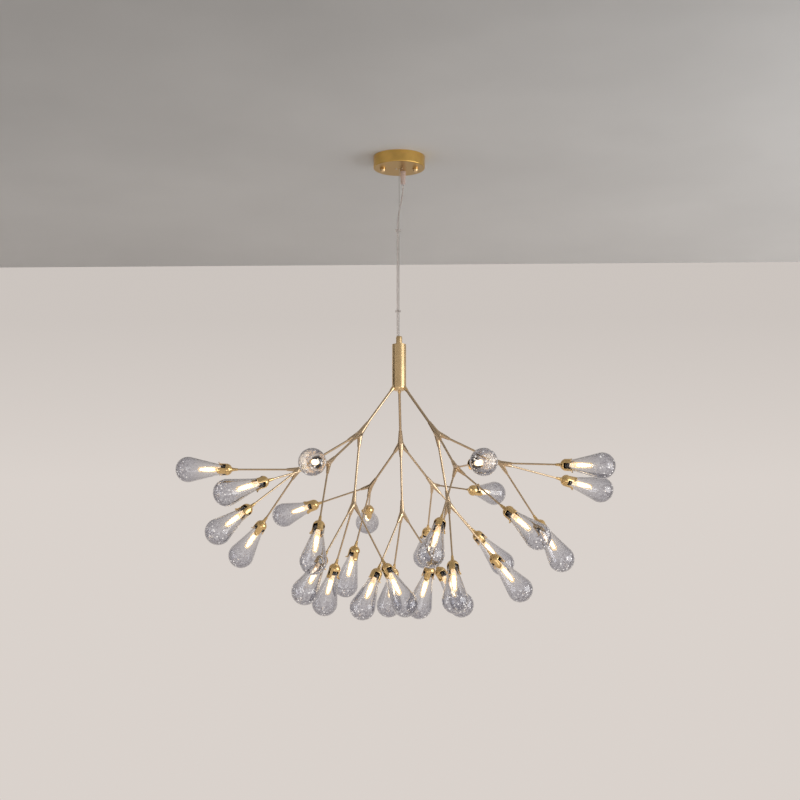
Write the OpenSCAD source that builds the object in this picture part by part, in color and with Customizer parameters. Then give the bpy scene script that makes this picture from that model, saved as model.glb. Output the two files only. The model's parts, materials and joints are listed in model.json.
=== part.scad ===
// A branching chandelier: a round ceiling canopy, one steel wire and a clear power cord, a hub, and
// arms that fork in threes, twice, to carry drop-shaped glasses in three-petalled metal calyxes.
// Millimetres, +Z up. The origin is the middle of the bracket's top face, where it meets the ceiling.

/* [Canopy] */
// Outside diameter of the canopy
canopy_d = 120; // [112:1:150]
// Height of the canopy
canopy_h = 28; // [26:1:40]
// Sheet thickness of the canopy
canopy_t = 1.2; // [1:0.1:2]
// Rounding of the canopy's lower edge
canopy_round = 2; // [0.5:0.1:4]
// Distance between the two cap nuts
nut_spacing = 76; // [72:1:84]
// Radius of a cap nut's foot
cap_nut_r = 7; // [6:0.1:8]
// Height of a cap nut's foot
cap_nut_foot = 2.5; // [2:0.1:4]
// Radius of a bracket stud
stud_r = 2; // [1.5:0.1:2.5]
// Length of stud below the canopy
stud_out = 5.5; // [4:0.1:6]

/* [Ceiling bracket] */
// Width of the bracket bar
bracket_w = 20; // [16:1:26]
// Thickness of the bracket bar
bracket_t = 2.5; // [2:0.1:4]
// Length of bar beyond each stud
bracket_end = 8; // [6:1:12]
// Distance between the two ceiling screws
screw_spacing = 44; // [40:1:50]
// Width of a screw slot
slot_w = 4.5; // [4:0.1:6]
// Length of a screw slot, end to end
slot_l = 14; // [10:1:16]
// Diameter of the hole for the ceiling cable
cable_hole_d = 12; // [8:1:14]

/* [Terminal block] */
// Length of the terminal block
block_l = 20; // [16:0.5:24]
// Width of the terminal block
block_w = 16; // [12:0.5:18]
// Height of the terminal block
block_h = 11; // [8:0.5:14]
// Radius of its three wire ways
block_bore_r = 1.8; // [1:0.1:2.2]

/* [Wire and cord] */
// Canopy's underside to the top of the hub's ferrule
drop = 401; // [300:1:900]
// Radius of the steel wire
wire_r = 0.75; // [0.5:0.05:1]
// Radius of the ball on the wire's top end
ball_r = 3; // [2.5:0.1:3.5]
// Height of the ball's middle above the canopy's floor
ball_up = 4.8; // [4.2:0.1:6]
// Steepest swing of the wire, in degrees
swing = 10; // [4:1:14]
// Radius of the stop on the wire's bottom end
stop_r = 3.5; // [2.5:0.1:3.8]
// Length of that stop
stop_l = 9; // [6:0.5:12]
// Radius of the power cord
cord_r = 2.3; // [1.5:0.05:2.4]
// Width of a cord clip
clip_w = 12.5; // [11:0.1:14]
// Depth of a cord clip
clip_d = 7; // [6:0.1:8]
// Height of a cord clip
clip_h = 4.5; // [3:0.1:8]
// Canopy's underside to the middle of the upper clip
upper_clip_below = 149; // [145:1:180]
// Ferrule's top to the middle of the lower clip
lower_clip_above = 59.5; // [40:0.5:100]

/* [Wire anchor] */
// Wall of the anchor's boss round the ball
anchor_wall = 1.75; // [1.2:0.05:2.2]
// Height of the boss above the ball
anchor_rim = 3; // [2:0.1:5]
// Thickness of the anchor's flange, which lies on the canopy's floor
anchor_flange_t = 1.5; // [1:0.1:1.7]
// Width of the flange outside its screws
anchor_edge = 2; // [1:0.1:3]
// Radius of an anchor screw's shank
anchor_screw_r = 1.2; // [0.8:0.1:1.3]
// Radius of an anchor screw's head
anchor_head_r = 1.9; // [1.6:0.1:2.2]
// Height of an anchor screw's head
anchor_head_h = 1.2; // [0.8:0.1:2]

/* [Cord gland] */
// Length of the gland's sleeve below the canopy
sleeve_l = 30; // [20:1:34]
// Radius of the sleeve at the canopy
sleeve_r = 6.5; // [6:0.1:7]
// Radius of the sleeve's lower end
sleeve_end_r = 5.6; // [4:0.1:6]
// Radius of the gland's neck
gland_neck_r = 5; // [4.5:0.1:5.4]
// Thickness of the gland's nut
gland_nut_t = 4; // [3:0.1:6]
// Radius of the gland's nut over its corners
gland_nut_r = 8.5; // [7:0.1:10]

/* [Hub] */
// Radius of the hub
hub_r = 16; // [15:0.5:20]
// Height of the hub without its ferrule
hub_h = 108; // [94:1:140]
// Wall of the hub's tube
hub_wall = 1.5; // [1:0.1:2]
// Thickness of the hub's cap
hub_cap_t = 4; // [3:0.5:6]
// Height of the crown, the casting that holds the arms
crown_h = 17; // [16:0.5:20]
// Rounding of the crown's bottom edge
crown_round = 8; // [4:0.5:10]
// Length of the lips that fit inside the hub's tube
lip_h = 4; // [3:0.5:6]
// Height of the lead connector inside the hub
connector_h = 30; // [20:1:50]
// Height of the ferrule above the hub
ferrule_h = 19; // [16:0.5:24]
// Wall of the ferrule round its mouth
ferrule_wall = 1.3; // [1:0.1:2]
// Depth of the ferrule's mouth
mouth_depth = 9.5; // [8:0.5:11]
// Thickness of the ferrule's floor, which hangs on the wire's stop
floor_t = 4; // [3:0.5:5]
// Wall of the ferrule's spigot
spigot_wall = 1.2; // [1:0.1:1.6]
// Thickness of the nut on that spigot
hub_nut_t = 3; // [2:0.5:5]
// Width of the nut from the spigot to its corners
hub_nut_edge = 4; // [2.5:0.5:5]
// Length of the spigot past its nut
spigot_past = 1; // [0.5:0.5:3]

/* [Branching] */
// Height of the point where the arms' lines meet, above the hub's bottom
apex_up = 26; // [24:0.5:28]
// Lean of the three arms from straight down, in degrees
arm_lean = 37; // [32:1:40]
// Turn of the three arms round the hub, in degrees
arm_turn = 208; // [200:1:220]
// Lean of a fork's three branches from the line before it, in degrees
fork_lean = 32; // [30:1:36]
// Meeting point of the arms to the middle of a first fork
arm_l = 165; // [150:1:190]
// Middle of a first fork to the middle of a second fork
branch_l = 160; // [150:1:190]
// Turns of the first forks: left, rear and right, in degrees
first_fork_turns = [58, 58, 76]; // [50:1:80]
// Turns of the left spray's second forks, in degrees
left_fork_turns = [92, 38, 112]; // [30:1:120]
// Turns of the rear spray's second forks, in degrees
rear_fork_turns = [92, 44, 100]; // [30:1:120]
// Turns of the right spray's second forks, in degrees
right_fork_turns = [86, 116, 82]; // [30:1:120]

/* [Tubes] */
// Radius of an arm's tube
arm_r = 3; // [2.6:0.1:3.2]
// Radius of a branch's tube
branch_r = 2.5; // [2.3:0.1:2.8]
// Radius of a stem's tube
stem_r = 2; // [1.8:0.1:2.2]
// Wall of every tube
tube_wall = 0.8; // [0.6:0.05:1]
// Depth to which a tube goes into its socket
seat = 7; // [5:0.5:9]

/* [Sockets and forks] */
// Wall of a socket at its end
socket_wall = 0.8; // [0.6:0.1:1.2]
// Meeting point of the arms to the upper end of each crown socket
crown_socket_from = 14; // [13:0.5:15]
// Length of a crown socket
crown_socket_l = 20; // [18:0.5:26]
// Wall of a crown socket at its upper end
crown_socket_wall = 2.2; // [1.5:0.1:2.5]
// Length of the arms' lead holes above their meeting point
lead_hole_past = 4; // [3:0.5:5]
// Radius of a first fork's middle
first_ball_r = 6.8; // [6.4:0.1:8]
// Length of a first fork's socket towards the hub
first_back_l = 32; // [24:1:38]
// Length of a first fork's sockets towards the branches
first_front_l = 32; // [24:1:38]
// Radius of a second fork's middle
second_ball_r = 5.6; // [5.2:0.1:6.4]
// Length of a second fork's socket towards the hub
second_back_l = 28; // [20:1:34]
// Length of a second fork's sockets towards the stems
second_front_l = 28; // [20:1:34]

/* [Calyx] */
// Middle of a second fork to the calyx's collar
collar_at = 140; // [130:1:150]
// Length of the collar, up to the dome
collar_l = 14; // [12:0.5:16]
// Radius of the collar where it meets the dome
collar_r = 4.6; // [4:0.1:5]
// Outside radius of the dome
dome_r = 13.5; // [13.3:0.1:14.5]
// Sheet thickness of the dome and its petals
calyx_t = 1.2; // [0.8:0.1:1.4]
// Length of a petal beyond the dome's widest ring
petal_l = 18; // [14:0.5:20]
// Length of the part of a petal that curls
curl_l = 7; // [6:0.5:10]
// Distance by which a petal's tip curls out
curl_out = 4; // [2:0.1:5]
// Number of petals
petals = 3; // [3:1:4]
// Width of the arch between two petals at the dome
arch_w = 15; // [10:0.5:17]
// Width of the gap between two petals at their tips
gap_w = 27; // [20:0.5:28]

/* [Glass] */
// Radius of the glass drop's ball
drop_r = 29; // [26:0.5:30]
// Middle of a second fork to the middle of the drop's ball
drop_at = 255; // [245:1:265]
// Radius of the drop's neck
neck_r = 11.8; // [11.5:0.1:11.9]
// Length of the drop's straight neck
neck_l = 13.5; // [10:0.5:16]
// Wall of the glass
glass_t = 1.5; // [1:0.1:2]

/* [Lamp] */
// Radius of a lampholder
holder_r = 8.8; // [8:0.1:9.4]
// Length of a lampholder
holder_l = 20; // [18:0.5:24]
// Thickness of the lampholder's flange, which carries the glass
flange_t = 2; // [1.5:0.1:3]
// Radius of a lamp's foot
lamp_foot_r = 5.6; // [5:0.1:6.5]
// Length of a lamp's foot
lamp_foot_l = 14; // [10:0.5:18]
// Radius of a lamp's bulb
lamp_r = 6.2; // [5.5:0.1:7]
// Length of a lamp's bulb
lamp_l = 40; // [34:0.5:44]

/* [Hidden] */
$fn = 64;
// Radial play of a shank, a tube or a ball in its hole
play = 0.05;
// Radial play of a part that is screwed through sheet
hole_play = 0.2;
// Gap between bodies that turn on each other
run_gap = 0.3;
// Gap between the wire and the cord where both go into the ferrule
cord_gap = 0.15;
// How far a cut runs past a face
cut = 1;
// Length of thread that shows past a nut or a flange
thread_past = 1;
// Gap between the anchor's boss and its screws
boss_gap = 0.6;
// Step from a cap nut's foot in to its dome
nut_step = 0.6;
// Rounding of the ferrule's shoulder: how far down it starts, and the rim that it leaves
shoulder_down = 5;
shoulder_rim = 0.4;
// Gap round the lead connector
connector_gap = 1;
// Radius of a fork's sockets at its middle, as a share of the middle's own
fork_root = 0.9;
// How far the glass's neck starts above the dome's widest ring, and how far the flange lies within it
neck_lift = 0.5;
flange_in = 0.4;
sides = ["left", "rear", "right"];
thirds = [0, 1, 2];

brass = [0.78, 0.62, 0.33];
canopy_brass = [0.72, 0.52, 0.22];
steel = [0.6, 0.6, 0.6];
clear = [0.85, 0.82, 0.8, 0.6];
smoke = [0.5, 0.5, 0.53, 0.4];
dark = [0.16, 0.13, 0.11];
warm = [1, 0.93, 0.75];
cream = [0.9, 0.88, 0.82];

// Heights from the ceiling down
canopy_z = -canopy_h;
canopy_floor_z = canopy_z + canopy_t;
ball_z = canopy_floor_z + ball_up;
ferrule_z = canopy_z - drop;
mouth_z = ferrule_z - mouth_depth;
stop_z = mouth_z - floor_t - run_gap;
wire_end_z = stop_z - stop_l;
hub_top_z = ferrule_z - ferrule_h;
lip_z = hub_top_z - hub_cap_t - lip_h;
spigot_z = lip_z - hub_nut_t - spigot_past;
hub_bottom_z = hub_top_z - hub_h;
crown_z = hub_bottom_z + crown_h;
apex_z = hub_bottom_z + apex_up;

// Radii that follow from what goes inside
anchor_boss_r = ball_r + play + anchor_wall;
anchor_screw_x = anchor_boss_r + anchor_screw_r + boss_gap;
anchor_flange_r = anchor_screw_x + anchor_screw_r + anchor_edge;
throat_r = wire_r + 0.4;
mouth_r = wire_r + cord_gap + 2 * cord_r + run_gap;
ferrule_r = mouth_r + ferrule_wall;
spigot_r = stop_r + run_gap + spigot_wall;
lip_r = hub_r - hub_wall - play;

// Places on the canopy's floor
gland_xy = [9, 24];
block_xy = [-24, 24];

// The cord lies beside the wire, which its clips hold it to. The points of its route are chosen by
// hand: the first list is measured from the canopy's underside, the second from the ferrule's top.
clip_web = 0.45;
clip_z = [canopy_z - upper_clip_below, ferrule_z + lower_clip_above];
cord_x = -wire_r - clip_web - cord_r;
mouth_cord_x = -wire_r - cord_gap - cord_r;
upper_route = [[9, 24, -sleeve_l], [9, 24, -42], [8, 22, -56], [5, 17, -74], [2, 11, -92],
    [-1, 5, -112], [-3, 1, -132], [cord_x, 0, -upper_clip_below]];
lower_route = [[cord_x, 0, lower_clip_above], [cord_x, 0, 30], [mouth_cord_x, 0, 8],
    [mouth_cord_x, 0, run_gap - mouth_depth]];
cord_upper = [for (p = upper_route) p + [0, 0, canopy_z]];
cord_lower = concat([[cord_x, 0, clip_z[0]]], [for (p = lower_route) p + [0, 0, ferrule_z]]);

// Places along a stem, from the middle of its second fork. The lampholder stands where the inside of
// the dome is just wide enough for it, and the glass stands on the lampholder's flange.
dome_from = collar_at + collar_l;
dome_at = dome_from + sqrt(dome_r * dome_r - collar_r * collar_r);
dome_inner_r = dome_r - calyx_t;
floor_r = holder_r + hole_play;
floor_at = dome_at - sqrt(dome_inner_r * dome_inner_r - floor_r * floor_r);
holder_end = floor_at + holder_l;
neck_at = dome_at - neck_lift;
neck_end = neck_at + neck_l;
flange_r = neck_r - flange_in;
drop_lean = asin((drop_r - neck_r) / (drop_at - neck_end));
bulb_at = holder_end + lamp_foot_l;
petal_end = dome_at + petal_l;
curl_r = (curl_out * curl_out + curl_l * curl_l) / (2 * curl_out);
curl_turn = asin(curl_l / curl_r);

// Points of a route, with none further apart than the given step
function divided(route, step) = concat(
    [for (i = [0:len(route) - 2])
        let (a = route[i], b = route[i + 1], n = ceil(norm(b - a) / step))
        for (k = [0:n - 1]) a + (b - a) * k / n],
    [route[len(route) - 1]]);

// Direction of a path at one of its points
function heading(path, i) =
    let (d = path[min(i + 1, len(path) - 1)] - path[max(i - 1, 0)]) d / norm(d);

// One ring of a tube round a path, square to it, but level at both ends
function ring(path, i, r, n) =
    let (last = len(path) - 1,
         t = i == 0 || i == last ? [0, 0, -1] : heading(path, i),
         u0 = [1, 0, 0] - t * t[0],
         u = u0 / norm(u0),
         v = cross(t, u))
    [for (k = [0:n - 1]) path[i] + r * (u * cos(360 * k / n) + v * sin(360 * k / n))];

// A round tube along a route of points
module swept(route, r, n = 8, step = 12) {
    path = divided(route, step);
    last = len(path) - 1;
    points = [for (i = [0:last]) each ring(path, i, r, n)];
    walls = [for (i = [0:last - 1], k = [0:n - 1], half = [0, 1])
        let (a = i * n + k, b = i * n + (k + 1) % n)
        half == 0 ? [a, b, b + n] : [a, b + n, a + n]];
    ends = [for (k = [1:n - 2], half = [0, 1])
        half == 0 ? [0, k + 1, k] : [last * n, last * n + k, last * n + k + 1]];
    polyhedron(points, concat(walls, ends));
}

// A round bar between two heights, and a cone between two heights
module bar(r, z0, z1) translate([0, 0, min(z0, z1)]) cylinder(r = r, h = abs(z1 - z0));

module taper(r0, r1, z0, z1) translate([0, 0, z0]) cylinder(r1 = r0, r2 = r1, h = z1 - z0);

module at_studs() for (x = [-1, 1]) translate([x * nut_spacing / 2, 0, 0]) children();

module at_anchor_screws() for (x = [-1, 1]) translate([x * anchor_screw_x, 0, 0]) children();

module at_gland() translate([gland_xy[0], gland_xy[1], 0]) children();

// Radius of the way that the swinging wire needs at a height below its ball
function swing_r(z) = throat_r + (ball_z - z) * tan(swing);

// Frames of the branching. Each puts +Z along its arm, branch or stem.
module on_arm(side)
    translate([0, 0, apex_z])
        rotate([0, 0, arm_turn])
            rotate([180, 0, 0])
                rotate([0, 0, 120 * side])
                    rotate([0, arm_lean, 0]) children();

module leaning(turn, third) rotate([0, 0, turn + 120 * third]) rotate([0, fork_lean, 0]) children();

module at_first_fork(side) on_arm(side) translate([0, 0, arm_l]) children();

module on_branch(side, b) at_first_fork(side) leaning(first_fork_turns[side], b) children();

module at_second_fork(side, b) on_branch(side, b) translate([0, 0, branch_l]) children();

function fork_turns(side) = [left_fork_turns, rear_fork_turns, right_fork_turns][side];

module on_stems(side, b)
    for (s = thirds) at_second_fork(side, b) leaning(fork_turns(side)[b], s) children();

module on_all_stems(side) for (b = thirds) on_stems(side, b) children();

module canopy_shell() color(canopy_brass) difference() {
    rotate_extrude() polygon(concat(
        [[0, 0], [0, canopy_z]],
        [for (a = [0:15:90]) [canopy_d / 2 - canopy_round * (1 - sin(a)),
            canopy_z + canopy_round * (1 - cos(a))]],
        [[canopy_d / 2, 0]]));
    bar(canopy_d / 2 - canopy_t, canopy_floor_z, cut);
    bar(swing_r(canopy_z) + hole_play, canopy_z - cut, canopy_floor_z + cut);
    at_studs() bar(stud_r + hole_play, canopy_z - cut, canopy_floor_z + cut);
    at_anchor_screws() bar(anchor_screw_r + play, canopy_z - cut, canopy_floor_z + cut);
    at_gland() bar(gland_neck_r + hole_play, canopy_z - cut, canopy_floor_z + cut);
}

module screw_slot() {
    reach = (slot_l - slot_w) / 2;
    for (e = [-1, 1]) translate([e * reach, 0, 0]) bar(slot_w / 2, -bracket_t - cut, cut);
    translate([-reach, -slot_w / 2, -bracket_t - cut]) cube([2 * reach, slot_w, bracket_t + 2 * cut]);
}

module ceiling_bracket() color(steel) difference() {
    reach = nut_spacing / 2 + bracket_end;
    translate([-reach, -bracket_w / 2, -bracket_t]) cube([2 * reach, bracket_w, bracket_t]);
    at_studs() bar(stud_r + play, -bracket_t - cut, cut);
    bar(cable_hole_d / 2, -bracket_t - cut, cut);
    for (x = [-1, 1]) translate([x * screw_spacing / 2, 0, 0]) screw_slot();
}

module bracket_studs() color(steel) at_studs() bar(stud_r, canopy_z - stud_out, 0);

module cap_nuts() color(brass) at_studs() difference() {
    foot_z = canopy_z - cap_nut_foot;
    dome_r = cap_nut_r - nut_step;
    union() {
        bar(cap_nut_r, foot_z, canopy_z);
        intersection() {
            translate([0, 0, foot_z]) sphere(r = dome_r);
            bar(cap_nut_r, foot_z - dome_r - cut, foot_z + cut);
        }
    }
    bar(stud_r + play, canopy_z - stud_out - play, canopy_z + cut);
}

// The ball on the wire hangs in a round seat, and the hole below it widens for the swing
module wire_anchor() color(brass) difference() {
    boss_z = ball_z + ball_r + anchor_rim;
    low_z = canopy_floor_z - cut;
    union() {
        bar(anchor_flange_r, canopy_floor_z, canopy_floor_z + anchor_flange_t);
        bar(anchor_boss_r, canopy_floor_z, boss_z);
    }
    translate([0, 0, ball_z]) sphere(r = ball_r + play);
    bar(ball_r + play, ball_z, boss_z + cut);
    taper(swing_r(low_z), throat_r, low_z, ball_z);
    at_anchor_screws() bar(anchor_screw_r + play, low_z, canopy_floor_z + anchor_flange_t + cut);
}

module anchor_screws() color(steel) at_anchor_screws() {
    bar(anchor_head_r, canopy_z - anchor_head_h, canopy_z);
    bar(anchor_screw_r, canopy_z - anchor_head_h / 2, canopy_floor_z + anchor_flange_t + thread_past);
}

module cord_gland() color(clear) at_gland() {
    taper(sleeve_end_r, sleeve_r, canopy_z - sleeve_l, canopy_z);
    bar(gland_neck_r, canopy_z - cut, canopy_floor_z + gland_nut_t + thread_past);
}

module gland_nut() color(cream) at_gland() difference() {
    translate([0, 0, canopy_floor_z]) cylinder(r = gland_nut_r, h = gland_nut_t, $fn = 6);
    bar(gland_neck_r + play, canopy_z, canopy_floor_z + gland_nut_t + cut);
}

module terminal_block() color(cream)
    translate([block_xy[0] - block_l / 2, block_xy[1] - block_w / 2, canopy_floor_z])
        difference() {
            cube([block_l, block_w, block_h]);
            for (i = [0.2, 0.5, 0.8]) translate([block_l * i, -cut, block_h / 2]) rotate([-90, 0, 0])
                cylinder(r = block_bore_r, h = block_w + 2 * cut);
        }

module steel_wire() color(steel) {
    translate([0, 0, ball_z]) sphere(r = ball_r);
    bar(wire_r, wire_end_z, ball_z);
}

module wire_end_stop() color(brass) difference() {
    bar(stop_r, wire_end_z, stop_z);
    bar(wire_r + play, wire_end_z - cut, stop_z + cut);
}

// A clip is a plate with round ends and two holes, centred on the wire and the cord together
module cord_clips() color(clear) for (z = clip_z) translate([0, 0, z]) difference() {
    middle = (cord_x - cord_r + wire_r) / 2;
    half = (clip_w - clip_d) / 2;
    union() {
        for (e = [-1, 1]) translate([middle + e * half, 0, 0]) bar(clip_d / 2, -clip_h / 2, clip_h / 2);
        translate([middle, 0, 0]) cube([2 * half, clip_d, clip_h], center = true);
    }
    bar(wire_r + play, -clip_h, clip_h);
    translate([cord_x, 0, 0]) bar(cord_r + hole_play, -clip_h, clip_h);
}

module power_cord_upper() color(clear) swept(cord_upper, cord_r);

module power_cord_lower() color(clear) swept(cord_lower, cord_r);

// A bullet-shaped socket that the wire and the cord go into; the wire's stop turns under its floor
module hub_ferrule() color(brass) difference() {
    round_in = ferrule_wall - shoulder_rim;
    union() {
        rotate_extrude() polygon(concat(
            [[0, hub_top_z], [ferrule_r, hub_top_z]],
            [for (a = [0:15:90]) [ferrule_r - round_in * (1 - cos(a)),
                ferrule_z - shoulder_down * (1 - sin(a))]],
            [[0, ferrule_z]]));
        bar(spigot_r, spigot_z, hub_top_z + cut);
    }
    bar(mouth_r, mouth_z, ferrule_z + cut);
    bar(wire_r + run_gap, mouth_z - floor_t - cut, mouth_z + cut);
    bar(stop_r + run_gap, spigot_z - cut, mouth_z - floor_t);
}

module hub_nut() color(steel) difference() {
    translate([0, 0, lip_z - hub_nut_t]) cylinder(r = spigot_r + hub_nut_edge, h = hub_nut_t, $fn = 6);
    bar(spigot_r + play, lip_z - hub_nut_t - cut, lip_z + cut);
}

module hub_cap() color(brass) difference() {
    union() {
        bar(hub_r, hub_top_z - hub_cap_t, hub_top_z);
        bar(lip_r, lip_z, hub_top_z - hub_cap_t / 2);
    }
    bar(spigot_r + play, lip_z - cut, hub_top_z + cut);
}

module hub_tube() color(brass) difference() {
    bar(hub_r, crown_z, hub_top_z - hub_cap_t);
    bar(hub_r - hub_wall, crown_z - cut, hub_top_z - hub_cap_t + cut);
}

// The casting that closes the hub and holds the three arms in slanted sockets
module hub_crown() color(brass) difference() {
    socket_end = crown_socket_from + crown_socket_l;
    union() {
        rotate_extrude() polygon(concat(
            [[0, crown_z + lip_h], [0, hub_bottom_z]],
            [for (a = [0:15:90]) [hub_r - crown_round * (1 - sin(a)),
                hub_bottom_z + crown_round * (1 - cos(a))]],
            [[hub_r, crown_z], [lip_r, crown_z], [lip_r, crown_z + lip_h]]));
        for (side = thirds) on_arm(side)
            taper(arm_r + crown_socket_wall, arm_r + socket_wall, crown_socket_from, socket_end);
    }
    for (side = thirds) on_arm(side) {
        bar(arm_r + play, crown_socket_from, socket_end + cut);
        bar(arm_r - tube_wall, -lead_hole_past, crown_socket_from + cut);
    }
}

module lead_connector() color(cream) difference() {
    bottom_z = crown_z + lip_h;
    bar(lip_r - connector_gap, bottom_z, bottom_z + connector_h);
    bar(lip_r / 2, bottom_z - cut, bottom_z + connector_h + cut);
}

module tube(r, z0, z1) color(brass) difference() {
    bar(r, z0, z1);
    bar(r - tube_wall, z0 - cut, z1 + cut);
}

// A three-way fork: tapered sockets round a ball, drilled for the tubes and for the leads in them
module fork(ball, back_r, back_l, front_r, front_l) color(brass) difference() {
    root = ball * fork_root;
    union() {
        sphere(r = ball);
        taper(back_r + socket_wall, root, -back_l, 0);
        for (third = thirds) leaning(0, third) taper(root, front_r + socket_wall, 0, front_l);
    }
    bar(back_r + play, -back_l - cut, seat - back_l);
    bar(back_r - tube_wall, -back_l, 0);
    for (third = thirds) leaning(0, third) {
        bar(front_r + play, front_l - seat, front_l + cut);
        bar(front_r - tube_wall, 0, front_l);
    }
}

module arm(side) on_arm(side) tube(arm_r, crown_socket_from, arm_l - first_back_l + seat);

module first_fork(side) at_first_fork(side) rotate([0, 0, first_fork_turns[side]])
    fork(first_ball_r, arm_r, first_back_l, branch_r, first_front_l);

module branches(side) for (b = thirds) on_branch(side, b)
    tube(branch_r, first_front_l - seat, branch_l - second_back_l + seat);

module second_forks(side) for (b = thirds) at_second_fork(side, b) rotate([0, 0, fork_turns(side)[b]])
    fork(second_ball_r, branch_r, second_back_l, stem_r, second_front_l);

module stems(side) on_all_stems(side) tube(stem_r, second_front_l - seat, collar_at + seat);

// An arc of the dome's wall, from the given radius to the dome's widest ring
function dome_arc(r, from_r) =
    let (a0 = asin(from_r / r))
    [for (i = [0:8]) let (a = a0 + (90 - a0) * i / 8) [r * sin(a), dome_at - r * cos(a)]];

// The arc along which a petal curls out, for its outer face or its inner one
function petal_arc(inset) =
    [for (i = [0:5]) let (a = curl_turn * i / 5)
        [dome_r + curl_r - (curl_r + inset) * cos(a), petal_end - curl_l + (curl_r + inset) * sin(a)]];

function backwards(list) = [for (i = [len(list) - 1:-1:0]) list[i]];

// The gap between two petals: a round arch that opens to the petals' round tips
module petal_gap() rotate([90, 0, 90]) linear_extrude(dome_r + 2 * curl_out) {
    base = dome_at + arch_w / 4;
    rise = petal_end + calyx_t - base;
    edge = [for (i = [0:5]) let (a = 90 * i / 5)
        [arch_w / 2 + (gap_w - arch_w) / 2 * (1 - cos(a)), base + rise * sin(a)]];
    translate([0, base]) circle(d = arch_w);
    polygon(concat(edge, backwards([for (p = edge) [-p[0], p[1]]])));
}

module calyx() color(brass) difference() {
    rotate_extrude() polygon(concat(
        [[0, collar_at], [stem_r + socket_wall, collar_at]],
        dome_arc(dome_r, collar_r),
        petal_arc(0),
        backwards(petal_arc(calyx_t)),
        backwards(dome_arc(dome_inner_r, floor_r)),
        [[0, floor_at]]));
    bar(stem_r + play, collar_at - cut, collar_at + seat);
    bar(stem_r - tube_wall, collar_at, floor_at + cut);
    for (k = [0:petals - 1]) rotate([0, 0, 360 * (k + 0.5) / petals]) petal_gap();
}

module lampholder() color(dark) difference() {
    union() {
        bar(holder_r, floor_at, holder_end);
        bar(flange_r, neck_at - flange_t, neck_at);
    }
    bar(stem_r - tube_wall, floor_at - cut, floor_at + holder_l / 2);
}

module lamp() color(warm) {
    bar(lamp_foot_r, holder_end, bulb_at);
    bar(lamp_r, bulb_at, bulb_at + lamp_l - lamp_r);
    translate([0, 0, bulb_at + lamp_l - lamp_r]) sphere(r = lamp_r);
}

// The drop's outline: a neck, a cone that meets the ball smoothly, and the ball's arc to the tip
function drop_outline(inset) = concat(
    [[neck_r - inset, neck_at], [neck_r - inset, neck_end]],
    [for (i = [0:11]) let (a = -drop_lean + (90 + drop_lean) * i / 12)
        [(drop_r - inset) * cos(a), drop_at + (drop_r - inset) * sin(a)]],
    [[0, drop_at + drop_r - inset]]);

module glass() color(smoke) rotate_extrude()
    polygon(concat(drop_outline(0), backwards(drop_outline(glass_t))));

canopy_shell();
ceiling_bracket();
bracket_studs();
cap_nuts();
wire_anchor();
anchor_screws();
cord_gland();
gland_nut();
terminal_block();
steel_wire();
wire_end_stop();
cord_clips();
power_cord_upper();
power_cord_lower();
hub_ferrule();
hub_nut();
hub_cap();
hub_tube();
hub_crown();
lead_connector();
for (i = thirds) {
    arm(i);
    first_fork(i);
    branches(i);
    second_forks(i);
    stems(i);
    on_all_stems(i) lampholder();
    on_all_stems(i) lamp();
    for (b = thirds) {
        on_stems(i, b) calyx();
        on_stems(i, b) glass();
    }
}
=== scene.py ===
"""A branching chandelier: brass forks and calyxes, smoked glass drops with glowing lamps, a clear cord.

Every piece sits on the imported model, which is loaded first. Lengths are in metres.
"""

import json
import math

import bpy
from mathutils import Matrix, Vector


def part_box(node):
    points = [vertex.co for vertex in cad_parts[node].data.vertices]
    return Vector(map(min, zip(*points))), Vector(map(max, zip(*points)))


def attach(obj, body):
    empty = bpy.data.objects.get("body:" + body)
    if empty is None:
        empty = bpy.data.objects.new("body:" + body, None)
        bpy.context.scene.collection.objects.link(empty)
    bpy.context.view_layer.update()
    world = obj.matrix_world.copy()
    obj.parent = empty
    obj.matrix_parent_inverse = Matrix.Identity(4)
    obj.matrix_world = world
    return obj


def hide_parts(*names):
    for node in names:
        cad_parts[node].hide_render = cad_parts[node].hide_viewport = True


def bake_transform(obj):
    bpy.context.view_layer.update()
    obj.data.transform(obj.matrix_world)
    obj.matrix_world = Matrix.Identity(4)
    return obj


bl_info = {
    "name": "Branching Chandelier",
    "version": (1, 0, 0),
    "blender": (4, 5, 0),
    "location": "3D View > Sidebar > Chandelier",
    "description": "Forks, calyxes, glass drops, lamps, cord and studio for a branching chandelier",
    "category": "Add Mesh",
}

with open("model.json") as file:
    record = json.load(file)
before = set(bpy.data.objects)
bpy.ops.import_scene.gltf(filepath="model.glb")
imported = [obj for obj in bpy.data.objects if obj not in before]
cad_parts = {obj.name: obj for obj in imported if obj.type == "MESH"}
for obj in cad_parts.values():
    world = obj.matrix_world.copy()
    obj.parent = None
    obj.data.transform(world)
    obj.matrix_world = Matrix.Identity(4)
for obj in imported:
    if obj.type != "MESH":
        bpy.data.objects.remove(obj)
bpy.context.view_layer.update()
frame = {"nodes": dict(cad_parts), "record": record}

MM = 0.001
SIDES = ("left", "rear", "right")
THIRDS = (0, 1, 2)
THIRD_TURN = math.radians(120)
PHOTO_PIXELS = 800
SENSOR_WIDTH = 36

# Scales of the finishes' patterns, in features a metre, and the range that most of a noise lies in
CLOUD_SCALE = 35
POLISH_SCALE = 180
GRAIN_SCALE = 420
MOULDED_SCALE = 500
NOISE_RANGE = (0.3, 0.7)

# The turns of the forks, in degrees, as in the part's source
FIRST_FORK_TURNS = (58, 58, 76)
SECOND_FORK_TURNS = ((92, 38, 112), (92, 44, 100), (86, 116, 82))

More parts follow.
